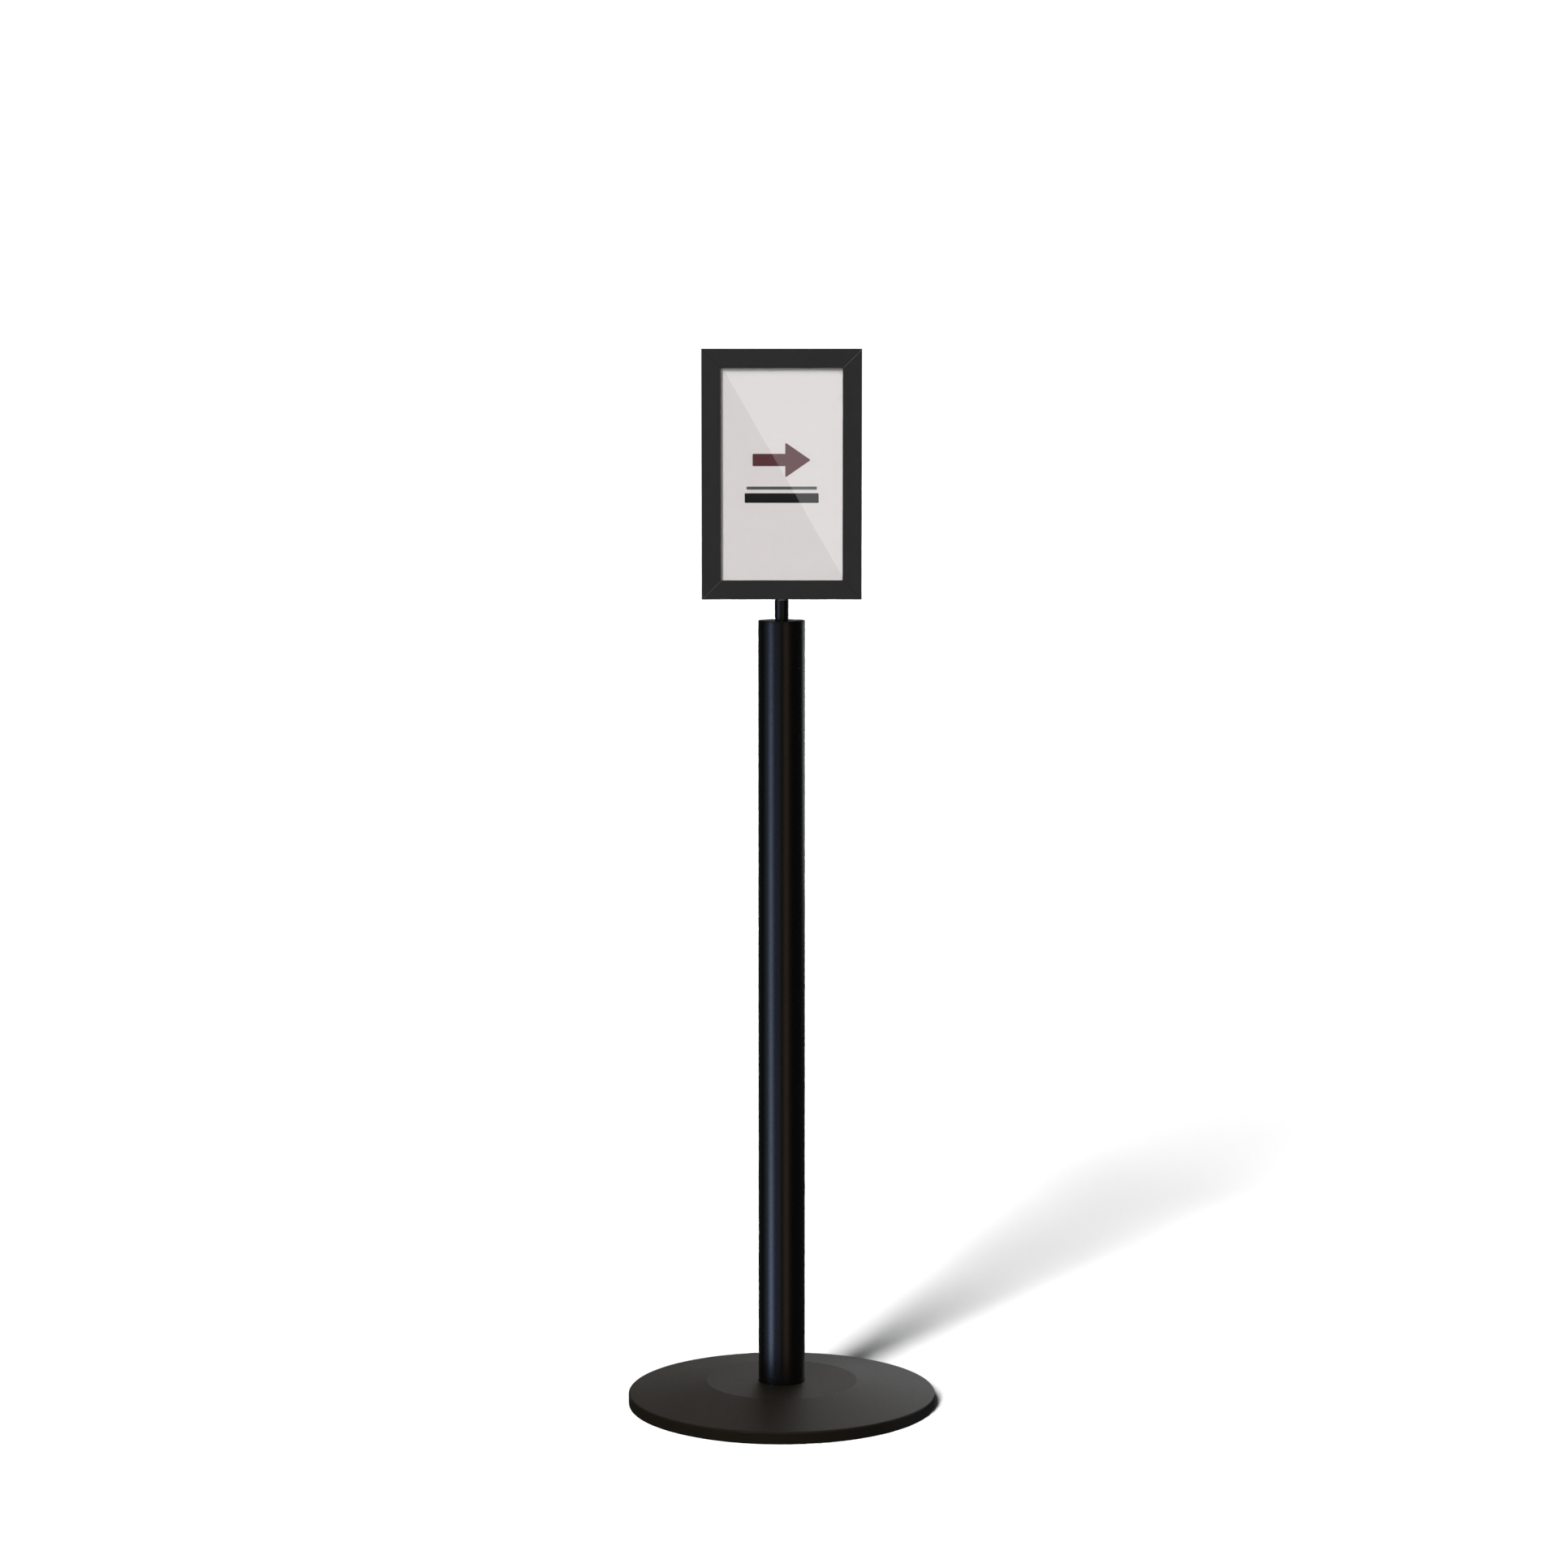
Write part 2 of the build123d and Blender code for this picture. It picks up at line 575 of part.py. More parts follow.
NODES = {
    "floor_ring": make_floor_ring(),
    "base_weight": make_base_weight(),
    "base_cover": make_base_cover(),
    "base_bolt": make_base_bolt(),
    "base_plate_washer": make_base_plate_washer(),
    "base_lock_washer": make_base_lock_washer(),
    "post_foot": make_post_foot(),
    "post_tube": make_post_tube(),
    "post_cap": make_post_cap(),
    "neck_bush": make_neck_bush(),
    "thrust_washer": make_thrust_washer(),
    "neck_spindle": make_neck_spindle(),
    "disc_spring": make_disc_spring(),
    "retaining_washer": make_retaining_washer(),
    "lock_nut": make_lock_nut(),
    "lock_nut_ring": make_lock_nut_ring(),
    "neck_washer": make_neck_washer(),
    "anchor_plate": make_anchor_plate(),
    "rest_pads": make_rest_pads(),
    "bottom_rail": make_bottom_rail(),
    "left_rail": make_side_rail(-1),
    "right_rail": make_side_rail(1),
    "top_rail_front": make_top_rail(-1),
    "top_rail_rear": make_top_rail(1),
    "corner_keys_front": make_corner_keys(-1),
    "corner_keys_rear": make_corner_keys(1),
    "key_screws": make_key_screws(),
    "front_lens": make_lens(-1),
    "sign_card": make_sign_card(),
    "rear_lens": make_lens(1),
}


def write_parts():
    os.makedirs("parts", exist_ok=True)
    for name, shape in NODES.items():
        if isinstance(shape, list):
            shape = Compound(children=shape)
        export_step(shape, f"parts/{name}.step")


write_parts()
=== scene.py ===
import json
import math

import bmesh
import bpy
from mathutils import Matrix, Vector

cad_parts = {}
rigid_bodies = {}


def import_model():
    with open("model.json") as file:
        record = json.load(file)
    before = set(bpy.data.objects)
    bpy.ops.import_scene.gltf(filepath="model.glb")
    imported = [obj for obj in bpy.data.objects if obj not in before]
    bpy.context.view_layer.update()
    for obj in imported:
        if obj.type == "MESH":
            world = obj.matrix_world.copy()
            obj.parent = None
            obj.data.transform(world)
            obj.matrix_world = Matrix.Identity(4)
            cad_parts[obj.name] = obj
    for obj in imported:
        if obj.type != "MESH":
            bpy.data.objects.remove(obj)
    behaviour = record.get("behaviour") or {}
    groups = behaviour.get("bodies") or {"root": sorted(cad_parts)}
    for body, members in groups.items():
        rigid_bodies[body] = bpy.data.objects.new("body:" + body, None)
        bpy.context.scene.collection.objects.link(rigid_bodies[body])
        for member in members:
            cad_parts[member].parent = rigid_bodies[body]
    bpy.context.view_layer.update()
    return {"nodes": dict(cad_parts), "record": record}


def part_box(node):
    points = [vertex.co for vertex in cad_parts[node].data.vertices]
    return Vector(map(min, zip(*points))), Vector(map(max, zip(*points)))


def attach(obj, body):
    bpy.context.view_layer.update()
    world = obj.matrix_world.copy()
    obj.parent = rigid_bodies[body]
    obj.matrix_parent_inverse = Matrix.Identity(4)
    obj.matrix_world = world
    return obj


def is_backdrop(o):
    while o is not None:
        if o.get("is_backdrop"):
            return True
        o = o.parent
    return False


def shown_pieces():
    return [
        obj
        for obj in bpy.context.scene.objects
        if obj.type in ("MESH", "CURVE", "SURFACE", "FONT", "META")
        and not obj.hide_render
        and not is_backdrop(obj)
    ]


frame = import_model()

# The looks of the sign stand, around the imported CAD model. Metres, +Z up, the sign faces -Y.
MM = 0.001

# ---- Camera ----
CAMERA_PLACE = (0.00265, -4.0906, 1.1122)
CAMERA_PITCH = 5.446           # degrees below the horizon
CAMERA_LENS = 82.49
CAMERA_SENSOR = 36.0
FARTHEST_SEEN = 500.0

# ---- Lights ----
# A heading is seen from the stand: degrees from the camera round to the picture's left, then degrees up.
# The key is a tall soft lamp at the front left, made of round lamps one above the other.
KEY_AZIMUTH = 24.0
# elevation, how large it looks, and its share of the key's light on the floor
KEY_LAMPS = ((48.0, 10.0, 0.13), (37.0, 13.0, 0.44), (25.0, 13.5, 0.43))
KEY_ON_FLOOR = 1.12            # with 1 as white
KEY_ON_STAND = 0.475           # the stand takes less of it than the floor
# name, what it reaches, heading, how large it looks, strength
FILLS = (
    ("front", "above_base", (-5, 6), 50, 0.82),
    ("rear", "stand", (165, 6), 50, 2.6),
    ("side", "above_base", (-104, 10), 24, 2.2),
    ("above", "base", (180, 78), 30, 1.5),
)
ROOM_LIGHT = 0.03
BACKDROP_LIGHT = 1.05
FLOOR_COLOUR = 0.9
FLOOR_SIZE = 400

BASE_PIECES = ("base_cover", "floor_ring")
POST_PIECES = ("post_tube", "post_cap", "neck_bush", "neck_spindle", "neck_washer")
POST_LEVEL = 0.3               # the heights that the softboxes face
SIGN_LEVEL = 1.1
# name, what it reaches, height, heading, distance, width, height, colour, radiance
SOFTBOXES = (
    ("window", "post", POST_LEVEL, (55, -16), 3.0, 1.1, 2.8, (0.52, 0.66, 1.0), 2.9),
    ("window_spill", "post", POST_LEVEL, (52, -14), 3.0, 5.0, 3.2, (0.55, 0.68, 1.0), 0.40),
    ("window_low", "post", POST_LEVEL, (55, -32), 3.0, 1.1, 1.8, (0.52, 0.66, 1.0), 1.4),
    ("haze", "post", POST_LEVEL, (11, -14), 3.0, 0.8, 3.2, (0.8, 0.88, 1.0), 0.2),
    ("warm_strip", "post", POST_LEVEL, (-20, -14), 3.0, 1.2, 3.2, (1.0, 0.72, 0.5), 0.42),
    ("warm_spill", "post", POST_LEVEL, (-32, -14), 3.0, 1.4, 3.2, (1.0, 0.72, 0.5), 0.12),
    ("left_high", "rails", SIGN_LEVEL, (43, 36), 3.0, 1.2, 1.2, (0.94, 0.97, 1.0), 4.5),
    ("left_edge", "rails", SIGN_LEVEL, (82, 5), 3.0, 1.2, 1.6, (0.9, 0.95, 1.0), 1.5),
    ("back", "stand", POST_LEVEL, (-170, 6), 4.0, 4.5, 1.4, (1.0, 0.98, 0.95), 0.30),
    ("back_right", "stand", POST_LEVEL, (-150, 8), 4.0, 4.0, 1.4, (0.84, 0.94, 1.0), 0.63),
    ("back_high", "base", POST_LEVEL, (-158, 34), 3.0, 2.6, 1.4, (1.0, 0.97, 0.94), 0.56),
    ("back_high_right", "base", POST_LEVEL, (-150, 28), 3.0, 2.0, 1.4, (0.94, 0.97, 1.0), 0.60),
    ("right_low", "base", POST_LEVEL, (-100, -8), 3.0, 2.0, 1.2, (0.75, 0.88, 1.0), 0.3),
    ("front_high", "base", POST_LEVEL, (0, 36), 4.0, 8.0, 1.6, (1.0, 0.97, 0.93), 0.6),
)
GLARE_SHIFT = 2.3 * MM         # how far right of the opening's diagonal the line runs
GLARE_DISTANCE = 2.0           # from the camera back to the lamp
GLARE_LENGTH = 1.4
GLARE_WIDTH = 0.6
GLARE_RADIANCE = 2.5

# ---- Materials ----
EVEN = (1, 1, 1)               # how a grain is stretched: a small number draws it out
ALONG_X = (0.01, 1, 1)
ALONG_Z = (1, 1, 0.01)
AROUND_Z = (0.1, 0.1, 1)
NOISE_LOW = 0.3                # most of a noise lies between these
NOISE_HIGH = 0.7
NOISE_DETAIL = 3
CLOUD_SIZE = 30                # the mottling, in grains
CLOUD_DETAIL = 4
GLOSS_SIZE = 3                 # patches of more and less gloss, in grains
GLOSS_SPREAD = 0.02            # roughness, either way
# Edges drawn lighter than the coat: partly a thin, rubbed coat, and partly a painted edge highlight.
WEAR_AND_HIGHLIGHT_WIDTH = 0.4 * MM          # of the coat's thin band along an edge
WEAR_AND_HIGHLIGHT_PATCH = 8 * MM
WEAR_AND_HIGHLIGHT_LEAST = 0.1               # how much of the coat's edge is worn, from patch to patch
WEAR_AND_HIGHLIGHT_MOST = 0.6
WEAR_AND_HIGHLIGHT_LIGHTER = 2.5             # times the coat's colour
EDGE_SAMPLES = 4
EDGE_FULL = 0.85               # how far a rounded-off normal agrees with its face, at an edge
EDGE_NONE = 0.98               # and on the flat
DISC_RADIUS = 87.4 * MM        # the flat middle of the base, with a coarser coat than the slope
SMOOTHER_OUTSIDE = 0.15        # share of the relief that the slope and the wall keep
BASE_BLACK = (0.0100, 0.0078, 0.0052)
FRAME_BLACK = (0.0212, 0.0206, 0.0208)
CLEAR = (0.985, 0.99, 0.988)   # what one face of the acrylic lets through
CLEAR_EDGE = (0.05, 0.09, 0.08)
ACRYLIC_IOR = 1.49
FACES_FORWARD = 0.5            # a sheet's faces point along Y by more than this, its edges by less

# ---- Print on the card: millimetres right of and above its middle ----
INK_THICKNESS = 0.04 * MM
INK_SUNK = 0.02 * MM           # how far the ink reaches into the card
ARROW_SHAFT = (-33, 7, 4, 21)          # left, bottom, right, top
ARROW_HEAD = ((4, -6), (33, 14), (4, 34))
THIN_BAR = (-40, -19.5, 40, -16.0)
THICK_BAR = (-42, -34.5, 42, -23.5)
INK_CORNER = 1.0
CORNER_STEPS = 6


# ---------------------------------------------------------------- node helpers
class Nodes:
    """A material's or world's node tree, with short calls for the nodes used here."""

    def __init__(self, owner):
        owner.use_nodes = True
        self.tree = owner.node_tree
        self.tree.nodes.clear()

    def add(self, kind, **settings):
        node = self.tree.nodes.new(kind)
        for name, value in settings.items():
            setattr(node, name, value)
        return node

    def join(self, source, target):
        self.tree.links.new(source, target)

    def math(self, operation, first, second=None):
        """A Math node on sockets or numbers; gives its output."""
        node = self.add("ShaderNodeMath", operation=operation)
        for socket, value in zip(node.inputs, (first, second)):
            if value is None:
                continue
            if isinstance(value, (int, float)):
                socket.default_value = value
            else:
                self.join(value, socket)
        return node.outputs[0]


def noise(nodes, size, detail=NOISE_DETAIL, stretch=EVEN):
    """Noise in the object's own space, with features about size metres across."""
    coordinates = nodes.add("ShaderNodeTexCoord")
    mapping = nodes.add("ShaderNodeMapping")
    mapping.inputs["Scale"].default_value = [s / size for s in stretch]
    nodes.join(coordinates.outputs["Object"], mapping.inputs["Vector"])
    texture = nodes.add("ShaderNodeTexNoise")
    texture.inputs["Scale"].default_value = 1.0
    texture.inputs["Detail"].default_value = detail
    nodes.join(mapping.outputs["Vector"], texture.inputs["Vector"])
    return texture.outputs["Fac"]


def spread(nodes, value, low, high, start=NOISE_LOW, end=NOISE_HIGH):
    """Maps a value between start and end, by default a noise, to a range of values."""
    node = nodes.add("ShaderNodeMapRange")
    node.inputs["From Min"].default_value = start
    node.inputs["From Max"].default_value = end
    node.inputs["To Min"].default_value = low
    node.inputs["To Max"].default_value = high
    nodes.join(value, node.inputs["Value"])
    return node.outputs["Result"]


def blend_colours(nodes, factor, first, second):
    """Mixes two colours; each is three numbers or a colour output."""
    node = nodes.add("ShaderNodeMix", data_type="RGBA")
    colour_inputs = [socket for socket in node.inputs if socket.type == "RGBA"]
    nodes.join(factor, node.inputs[0])
    for socket, colour in zip(colour_inputs, (first, second)):
        if isinstance(colour, bpy.types.NodeSocket):
            nodes.join(colour, socket)
        else:
            socket.default_value = (*colour, 1)
    return next(socket for socket in node.outputs if socket.type == "RGBA")


def edges(nodes):
    """1 along a solid's edges and 0 on its faces."""
    rounded_off = nodes.add("ShaderNodeBevel", samples=EDGE_SAMPLES)
    rounded_off.inputs["Radius"].default_value = WEAR_AND_HIGHLIGHT_WIDTH
    face = nodes.add("ShaderNodeNewGeometry")
    agree = nodes.add("ShaderNodeVectorMath", operation="DOT_PRODUCT")
    nodes.join(rounded_off.outputs[0], agree.inputs[0])
    nodes.join(face.outputs["True Normal"], agree.inputs[1])
    return spread(nodes, agree.outputs["Value"], 1, 0, start=EDGE_FULL, end=EDGE_NONE)


def within(nodes, radius):
    """1 nearer to the stand's axis than a radius, and 0 outside it."""
    coordinates = nodes.add("ShaderNodeTexCoord")
    flat = nodes.add("ShaderNodeVectorMath", operation="MULTIPLY")
    flat.inputs[1].default_value = (1, 1, 0)
    nodes.join(coordinates.outputs["Object"], flat.inputs[0])
    length = nodes.add("ShaderNodeVectorMath", operation="LENGTH")
    nodes.join(flat.outputs[0], length.inputs[0])
    return nodes.math("LESS_THAN", length.outputs["Value"], radius)


def relief(nodes, layers, share):
    """Layers of bumps, each a size, a depth and a stretch. A share, if given, makes them shallower."""
    normal = None
    for size, depth, stretch in layers:
        bump = nodes.add("ShaderNodeBump")
        bump.inputs["Distance"].default_value = depth
        height = noise(nodes, size, stretch=stretch)
        if share is not None:
            height = nodes.math("MULTIPLY", height, share)
        nodes.join(height, bump.inputs["Height"])
        if normal is not None:
            nodes.join(normal, bump.inputs["Normal"])
        normal = bump.outputs["Normal"]
    return normal


def surface(name, colour, rough, layers, metallic=0.0, variation=0.15, wear_and_highlight=None, coarse_within=None):
    """A solid surface: mottled colour, uneven gloss and layers of relief.

    If asked for, it turns lighter along its edges, partly a rubbed coat and partly a painted edge
    highlight, or keeps its full relief only near the stand's axis.
    """
    material = bpy.data.materials.new(name)
    nodes = Nodes(material)
    shader = nodes.add("ShaderNodeBsdfPrincipled")
    output = nodes.add("ShaderNodeOutputMaterial")
    nodes.join(shader.outputs[0], output.inputs["Surface"])
    shader.inputs["Metallic"].default_value = metallic
    grain, _, stretch = layers[0]
    cloud = noise(nodes, grain * CLOUD_SIZE, detail=CLOUD_DETAIL)
    dark = [c * (1 - variation) for c in colour]
    light = [c * (1 + variation) for c in colour]
    tint = blend_colours(nodes, spread(nodes, cloud, 0, 1), dark, light)
    # Lighter edges in patches: partly a thin, rubbed coat, partly a painted edge highlight.
    if wear_and_highlight is not None:
        patches = spread(nodes, noise(nodes, WEAR_AND_HIGHLIGHT_PATCH), WEAR_AND_HIGHLIGHT_LEAST, WEAR_AND_HIGHLIGHT_MOST)
        where = nodes.math("MULTIPLY", edges(nodes), patches)
        tint = blend_colours(nodes, where, tint, wear_and_highlight)
    nodes.join(tint, shader.inputs["Base Color"])
    gloss = noise(nodes, grain * GLOSS_SIZE, stretch=stretch)
    uneven = spread(nodes, gloss, rough - GLOSS_SPREAD, rough + GLOSS_SPREAD)
    nodes.join(uneven, shader.inputs["Roughness"])
    share = None
    if coarse_within is not None:
        share = spread(nodes, within(nodes, coarse_within), SMOOTHER_OUTSIDE, 1, start=0, end=1)
    nodes.join(relief(nodes, layers, share), shader.inputs["Normal"])
    return material


def clear_sheet(name):
    """Clear acrylic: see-through, with a mirror at its two faces, and dark along its thin edges."""
    material = bpy.data.materials.new(name)
    nodes = Nodes(material)
    output = nodes.add("ShaderNodeOutputMaterial")
    mix = nodes.add("ShaderNodeMixShader")
    fresnel = nodes.add("ShaderNodeFresnel")
    fresnel.inputs["IOR"].default_value = ACRYLIC_IOR
    face = nodes.add("ShaderNodeNewGeometry")
    outside = nodes.math("SUBTRACT", 1.0, face.outputs["Backfacing"])
    share = nodes.math("MULTIPLY", fresnel.outputs[0], outside)
    coordinates = nodes.add("ShaderNodeTexCoord")
    facing = nodes.add("ShaderNodeSeparateXYZ")
    nodes.join(coordinates.outputs["Normal"], facing.inputs[0])
    squarely = nodes.math("ABSOLUTE", facing.outputs["Y"])
    thin_edge = nodes.math("LESS_THAN", squarely, FACES_FORWARD)
    clear = nodes.add("ShaderNodeBsdfTransparent")
    nodes.join(blend_colours(nodes, thin_edge, CLEAR, CLEAR_EDGE), clear.inputs["Color"])
    mirror = nodes.add("ShaderNodeBsdfGlossy")
    mirror.inputs["Roughness"].default_value = 0.0
    nodes.join(share, mix.inputs[0])
    nodes.join(clear.outputs[0], mix.inputs[1])
    nodes.join(mirror.outputs[0], mix.inputs[2])
    nodes.join(mix.outputs[0], output.inputs["Surface"])
    return material


# ---------------------------------------------------------------- materials
def painted(name, colour, rough, layers, **details):
    """Powder coat, a little lighter along its edges: partly where it is thin over an edge, partly a
    painted edge highlight.
    """
    return surface(name, colour, rough, layers, wear_and_highlight=[c * WEAR_AND_HIGHLIGHT_LIGHTER for c in colour], **details)


def frame_coat(name, drawn):
    """The frame's matt coat, with fine lines the way the rail was drawn."""
    layers = ((0.4 * MM, 0.0015 * MM, drawn), (0.7 * MM, 0.005 * MM, EVEN))
    return painted(name, FRAME_BLACK, 0.45, layers, variation=0.04)


def make_paints():
    """The base's sandy coat, the post's satin coat and the frame's matt coat."""
    sand = ((1.3 * MM, 0.27 * MM, EVEN), (0.6 * MM, 0.08 * MM, EVEN))
    orange_peel = ((2.5 * MM, 0.003 * MM, EVEN), (0.5 * MM, 0.0005 * MM, EVEN))
    return {
        "textured_black": painted(
            "textured_black", BASE_BLACK, 0.49, sand, variation=0.05, coarse_within=DISC_RADIUS
        ),
        "satin_black": painted("satin_black", (0.0014, 0.0012, 0.0011), 0.28, orange_peel),
        "frame_black": frame_coat("frame_black", ALONG_X),
        "frame_black_upright": frame_coat("frame_black_upright", ALONG_Z),
    }


def make_metals():
    """Cast iron in primer, zinc plate, mill aluminium and black oxide."""
    cast = ((3.0 * MM, 0.3 * MM, EVEN), (0.8 * MM, 0.1 * MM, EVEN))
    turned = ((0.4 * MM, 0.006 * MM, AROUND_Z), (0.3 * MM, 0.003 * MM, EVEN))
    rolled = ((0.5 * MM, 0.01 * MM, ALONG_X),)
    return {
        "cast_iron": surface("cast_iron", (0.03, 0.029, 0.028), 0.75, cast),
        "zinc_steel": surface("zinc_steel", (0.55, 0.56, 0.58), 0.3, turned, metallic=1.0),
        "key_aluminium": surface("key_aluminium", (0.7, 0.7, 0.71), 0.4, rolled, metallic=1.0),
        "black_screw": surface("black_screw", (0.03, 0.03, 0.03), 0.4, turned, metallic=1.0),
    }


def make_plastics():
    """Rubber, three nylons and the clear sheets."""
    rubbery = ((0.6 * MM, 0.03 * MM, EVEN),)
    moulded = ((0.6 * MM, 0.008 * MM, EVEN),)
    return {
        "rubber": surface("rubber", (0.012, 0.012, 0.012), 0.8, rubbery),
        "black_nylon": surface("black_nylon", (0.02, 0.02, 0.02), 0.5, moulded),
        "pale_nylon": surface("pale_nylon", (0.72, 0.71, 0.67), 0.45, moulded),
        "grey_nylon": surface("grey_nylon", (0.12, 0.12, 0.12), 0.5, moulded),
        "acrylic": clear_sheet("acrylic"),
    }


def make_card_and_inks():
    """The printed board and the three inks on it."""
    paper = ((0.3 * MM, 0.003 * MM, EVEN), (0.15 * MM, 0.001 * MM, ALONG_X))
    return {
        "card": surface("card", (0.712, 0.665, 0.663), 0.7, paper, variation=0.01),
        "red_ink": surface("red_ink", (0.107, 0.030, 0.037), 0.5, paper, variation=0.05),
        "black_ink": surface("black_ink", (0.0116, 0.0116, 0.0116), 0.5, paper, variation=0.05),
        "grey_ink": surface("grey_ink", (0.077, 0.087, 0.087), 0.5, paper, variation=0.05),
    }


def dress(materials):
    """Gives each CAD node its material in the record, with upright lines on the side rails."""
    for part in frame["record"]["subparts"]:
        finish = part["material_slot"]
        if part["node"] in ("left_rail", "right_rail"):
            finish += "_upright"
        for slot in frame["nodes"][part["node"]].material_slots:
            slot.material = materials[finish]


# ---------------------------------------------------------------- print
def rounded(corners, radius):
    """The corners of a flat outline, each replaced by an arc."""
    outline = []
    count = len(corners)
    for index, corner in enumerate(corners):
        here = Vector(corner)
        back = (Vector(corners[index - 1]) - here).normalized()
        on = (Vector(corners[(index + 1) % count]) - here).normalized()
        half = back.angle(on) / 2
        reach = radius / math.tan(half)
        centre = here + (back + on).normalized() * radius / math.sin(half)
        start = here + back * reach - centre
        end = here + on * reach - centre
        for step in range(CORNER_STEPS + 1):
            part = start.lerp(end, step / CORNER_STEPS).normalized() * radius
            outline.append(centre + part)
    return outline


def rectangle(left, bottom, right, top):
    return ((left, bottom), (right, bottom), (right, top), (left, top))


def make_ink(name, corners, material):
    """A thin layer of ink on the front of the card."""
    low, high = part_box("sign_card")
    middle = (low + high) / 2
    mesh = bmesh.new()
    back = []
    for point in rounded(corners, INK_CORNER):
        place = (middle.x + point.x * MM, low.y + INK_SUNK, middle.z + point.y * MM)
        back.append(mesh.verts.new(place))
    face = mesh.faces.new(back)
    raised = bmesh.ops.extrude_face_region(mesh, geom=[face])
    front = [item for item in raised["geom"] if isinstance(item, bmesh.types.BMVert)]
    bmesh.ops.translate(mesh, verts=front, vec=(0, -INK_SUNK - INK_THICKNESS, 0))
    bmesh.ops.recalc_face_normals(mesh, faces=mesh.faces)
    data = bpy.data.meshes.new(name)
    mesh.to_mesh(data)
    mesh.free()
    data.materials.append(material)
    ink = bpy.data.objects.new(name, data)
    bpy.context.scene.collection.objects.link(ink)
    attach(ink, "card")


def make_print(materials):
    """A plain arrow over two plain bars."""
    make_ink("print_arrow_shaft", rectangle(*ARROW_SHAFT), materials["red_ink"])
    make_ink("print_arrow_head", ARROW_HEAD, materials["red_ink"])
    make_ink("print_thin_bar", rectangle(*THIN_BAR), materials["grey_ink"])
    make_ink("print_thick_bar", rectangle(*THICK_BAR), materials["black_ink"])


# ---------------------------------------------------------------- stage
def make_floor():
    """A white floor that the camera sees and shadows fall on, and that lights nothing."""
    bpy.ops.mesh.primitive_plane_add(size=FLOOR_SIZE)
    floor = bpy.context.object
    floor.name = "floor"
    material = bpy.data.materials.new("floor")
    nodes = Nodes(material)
    shader = nodes.add("ShaderNodeBsdfDiffuse")
    shader.inputs["Color"].default_value = (FLOOR_COLOUR, FLOOR_COLOUR, FLOOR_COLOUR, 1)
    output = nodes.add("ShaderNodeOutputMaterial")
    nodes.join(shader.outputs[0], output.inputs["Surface"])
    floor.data.materials.append(material)
    floor.visible_glossy = False
    floor.visible_diffuse = False
    floor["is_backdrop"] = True


def direction(azimuth, elevation):
    """Unit vector from the stand towards a heading."""
    a = math.radians(azimuth)
    e = math.radians(elevation)
    return Vector((-math.sin(a) * math.cos(e), -math.cos(a) * math.cos(e), math.sin(e)))


def make_world():
    """White behind the stand, and a dim room for everything but the camera."""
    world = bpy.data.worlds.new("studio")
    bpy.context.scene.world = world
    nodes = Nodes(world)
    levels = []
    for level in (ROOM_LIGHT, BACKDROP_LIGHT):
        background = nodes.add("ShaderNodeBackground")
        background.inputs["Color"].default_value = (1, 1, 1, 1)
        background.inputs["Strength"].default_value = level
        levels.append(background.outputs[0])
    path = nodes.add("ShaderNodeLightPath")
    mix = nodes.add("ShaderNodeMixShader")
    nodes.join(path.outputs["Is Camera Ray"], mix.inputs[0])
    nodes.join(levels[0], mix.inputs[1])
    nodes.join(levels[1], mix.inputs[2])
    output = nodes.add("ShaderNodeOutputWorld")
    nodes.join(mix.outputs[0], output.inputs["Surface"])


def make_sun(name, heading, angle, strength, reaches):
    """A distant lamp that lights matt surfaces and casts shadows, but leaves no highlight."""
    lamp = bpy.data.lights.new(name, "SUN")
    lamp.energy = strength
    lamp.angle = math.radians(angle)
    sun = bpy.data.objects.new(name, lamp)
    sun.rotation_euler = direction(*heading).to_track_quat("Z", "Y").to_euler()
    sun.visible_glossy = False
    sun.light_linking.receiver_collection = reaches
    bpy.context.scene.collection.objects.link(sun)


def make_softbox(name, reaches, level, heading, distance, width, height, colour, radiance):
    """A rectangular lamp that shows only as a reflection on the pieces it reaches."""
    lamp = bpy.data.lights.new(name, "AREA")
    lamp.shape = "RECTANGLE"
    lamp.size = width
    lamp.size_y = height
    lamp.color = colour
    lamp.energy = radiance * math.pi * width * height
    box = bpy.data.objects.new(name, lamp)
    towards = direction(*heading)
    box.location = Vector((0, 0, level)) + towards * distance
    box.rotation_euler = towards.to_track_quat("Z", "Y").to_euler()
    box.visible_camera = False
    box.visible_diffuse = False
    box.light_linking.receiver_collection = reaches
    bpy.context.scene.collection.objects.link(box)


def light_groups():
    """Named sets of pieces that a lamp can be limited to."""
    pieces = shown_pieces()
    named = {
        "floor": [bpy.data.objects["floor"]],
        "stand": pieces,
        "base": [piece for piece in pieces if piece.name in BASE_PIECES],
        "above_base": [piece for piece in pieces if piece.name not in BASE_PIECES],
        "post": [piece for piece in pieces if piece.name in POST_PIECES],
        "rails": [piece for piece in pieces if "rail" in piece.name],
    }
    groups = {}
    for name, members in named.items():
        groups[name] = bpy.data.collections.new("lit_" + name)
        for piece in members:
            groups[name].objects.link(piece)
    return groups


def make_key(name, level, reaches):
    """The key's lamps, for the floor or for the stand."""
    for number, (elevation, angle, share) in enumerate(KEY_LAMPS, 1):
        strength = level * share * math.pi / FLOOR_COLOUR / math.sin(math.radians(elevation))
        make_sun(f"{name}_{number}", (KEY_AZIMUTH, elevation), angle, strength, reaches)


def mirrored(x, z):
    """The place behind the camera that the camera sees mirrored at the point (x, z) of the lens."""
    camera = Vector(CAMERA_PLACE)
    reach = 2 + GLARE_DISTANCE / -camera.y     # out to the lens, back to the camera and past it
    x_there = camera.x + (x - camera.x) * reach
    z_there = camera.z + (z - camera.z) * reach
    return Vector((x_there, camera.y - GLARE_DISTANCE, z_there))


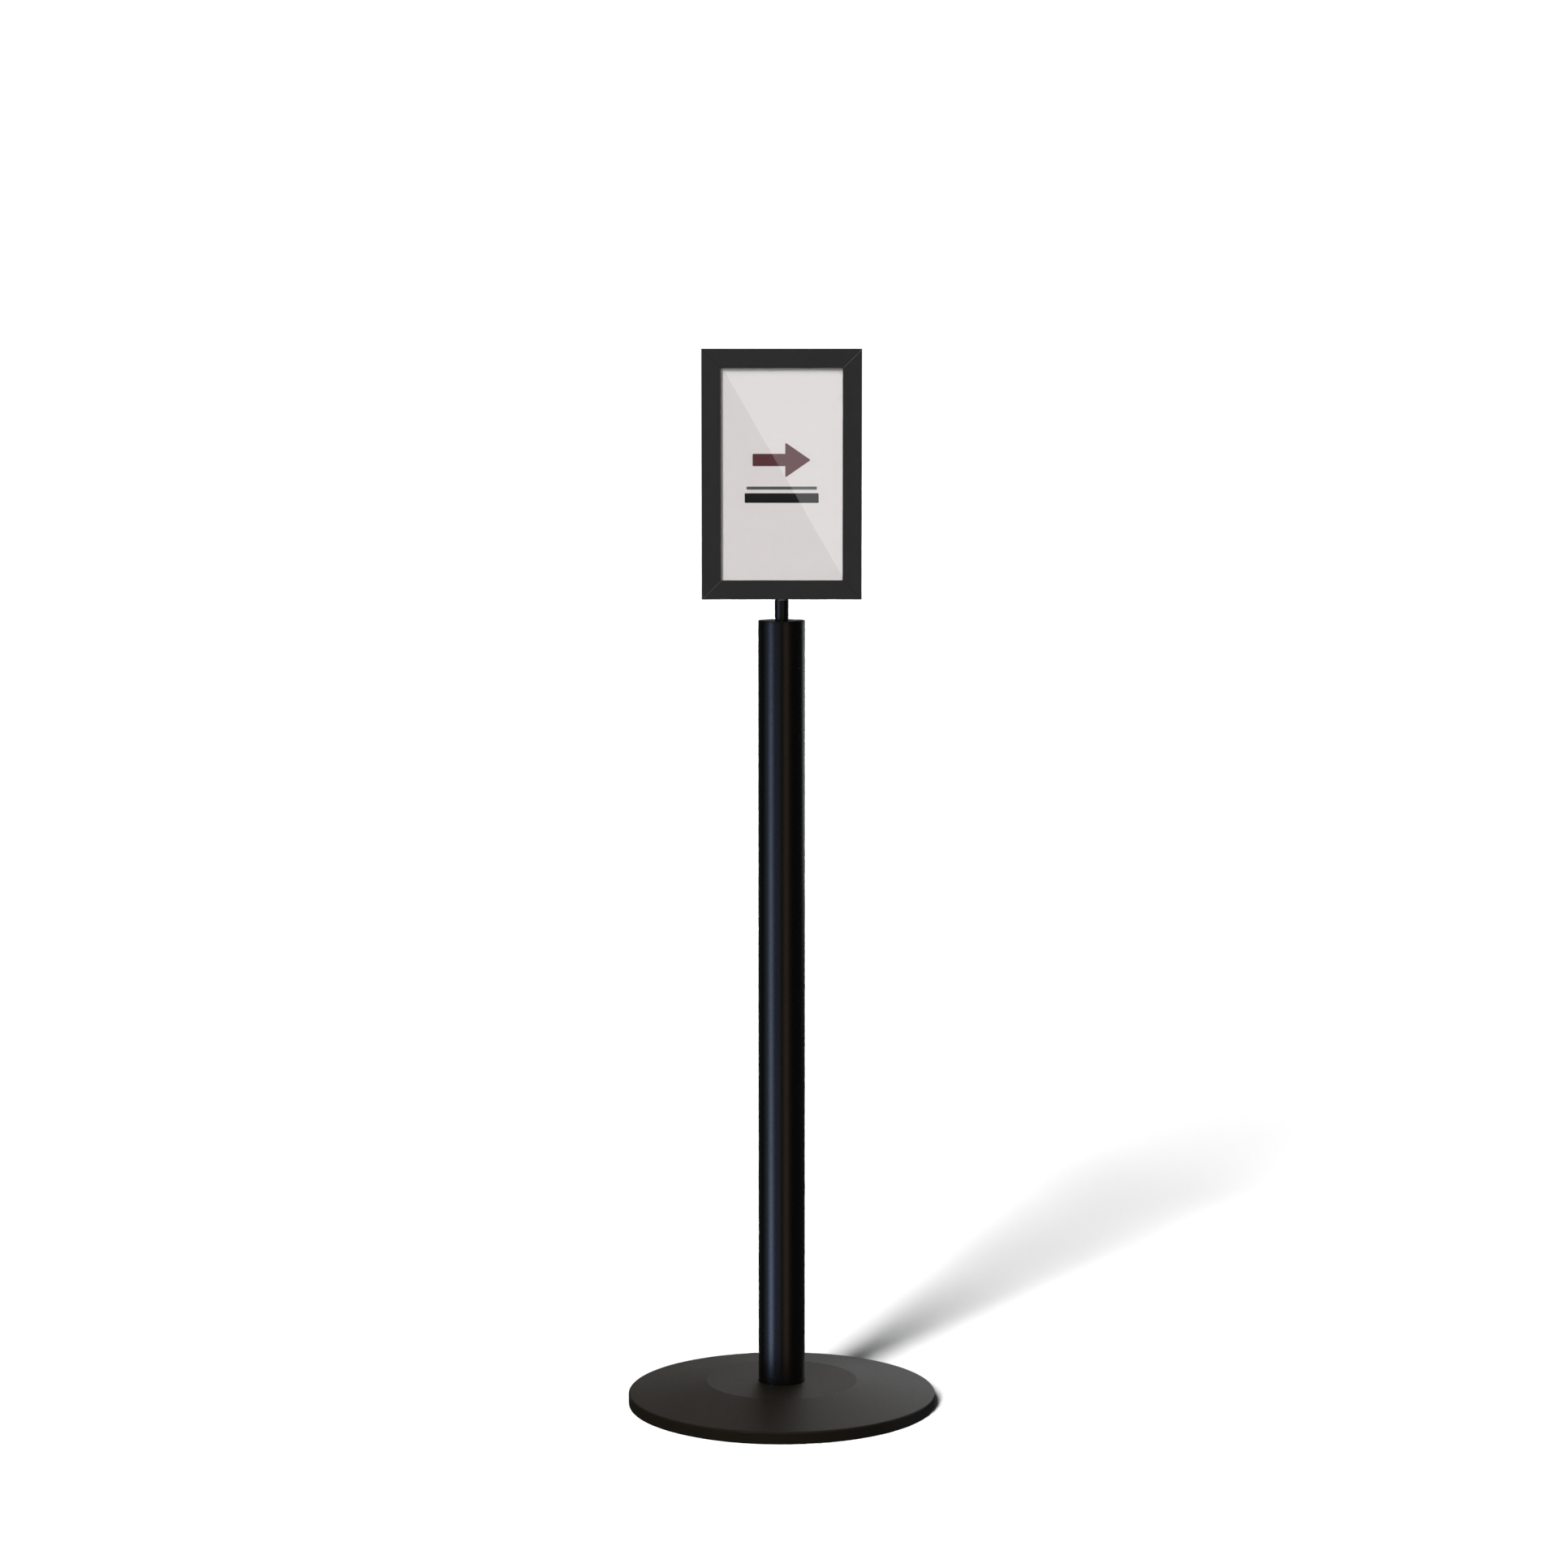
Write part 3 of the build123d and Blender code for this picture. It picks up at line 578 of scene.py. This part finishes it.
def make_glare():
    """A lamp behind the camera whose edge the lens mirrors as a line across the opening."""
    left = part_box("left_rail")[1].x + GLARE_SHIFT
    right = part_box("right_rail")[0].x + GLARE_SHIFT
    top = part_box("top_rail_front")[0].z
    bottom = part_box("bottom_rail")[1].z
    start = mirrored(left, top)
    end = mirrored(right, bottom)
    along = (end - start).normalized()
    across = Vector((-along.z, 0, along.x))
    lamp = bpy.data.lights.new("glare", "AREA")
    lamp.shape = "RECTANGLE"
    lamp.size = GLARE_LENGTH
    lamp.size_y = GLARE_WIDTH
    lamp.energy = GLARE_RADIANCE * math.pi * GLARE_LENGTH * GLARE_WIDTH
    glare = bpy.data.objects.new("glare", lamp)
    glare.location = (start + end) / 2 + across * GLARE_WIDTH / 2
    glare.rotation_euler = Matrix((along, across, along.cross(across))).transposed().to_euler()
    glare.visible_camera = False
    glare.visible_diffuse = False
    bpy.context.scene.collection.objects.link(glare)
    reached = bpy.data.collections.new("glare_reaches")
    reached.objects.link(frame["nodes"]["front_lens"])
    glare.light_linking.receiver_collection = reached


def make_camera():
    """The main view: from the front, at the height of the sign, looking slightly down."""
    data = bpy.data.cameras.new("camera")
    data.lens = CAMERA_LENS
    data.sensor_width = CAMERA_SENSOR
    data.clip_end = FARTHEST_SEEN
    camera = bpy.data.objects.new("camera", data)
    camera.location = CAMERA_PLACE
    camera.rotation_euler = (math.radians(90 - CAMERA_PITCH), 0, 0)
    bpy.context.scene.collection.objects.link(camera)
    bpy.context.scene.camera = camera


# A Blender started on its default scene already has a cube, a lamp and a camera.
for leftover in list(bpy.data.objects):
    if leftover.type in ("LIGHT", "CAMERA") or leftover.name == "Cube":
        bpy.data.objects.remove(leftover)

bpy.context.scene.view_settings.view_transform = "Standard"
# Picking lamps with the light tree loses some of the linked ones, and not the same ones each run.
bpy.context.scene.cycles.use_light_tree = False
materials = make_paints() | make_metals() | make_plastics() | make_card_and_inks()
dress(materials)
make_print(materials)
make_camera()
make_floor()
make_world()
reach = light_groups()
make_key("key_floor", KEY_ON_FLOOR, reach["floor"])
make_key("key_stand", KEY_ON_STAND, reach["stand"])
for name, group, *setting in FILLS:
    make_sun(name, *setting, reach[group])
for name, group, *setting in SOFTBOXES:
    make_softbox(name, reach[group], *setting)
make_glare()
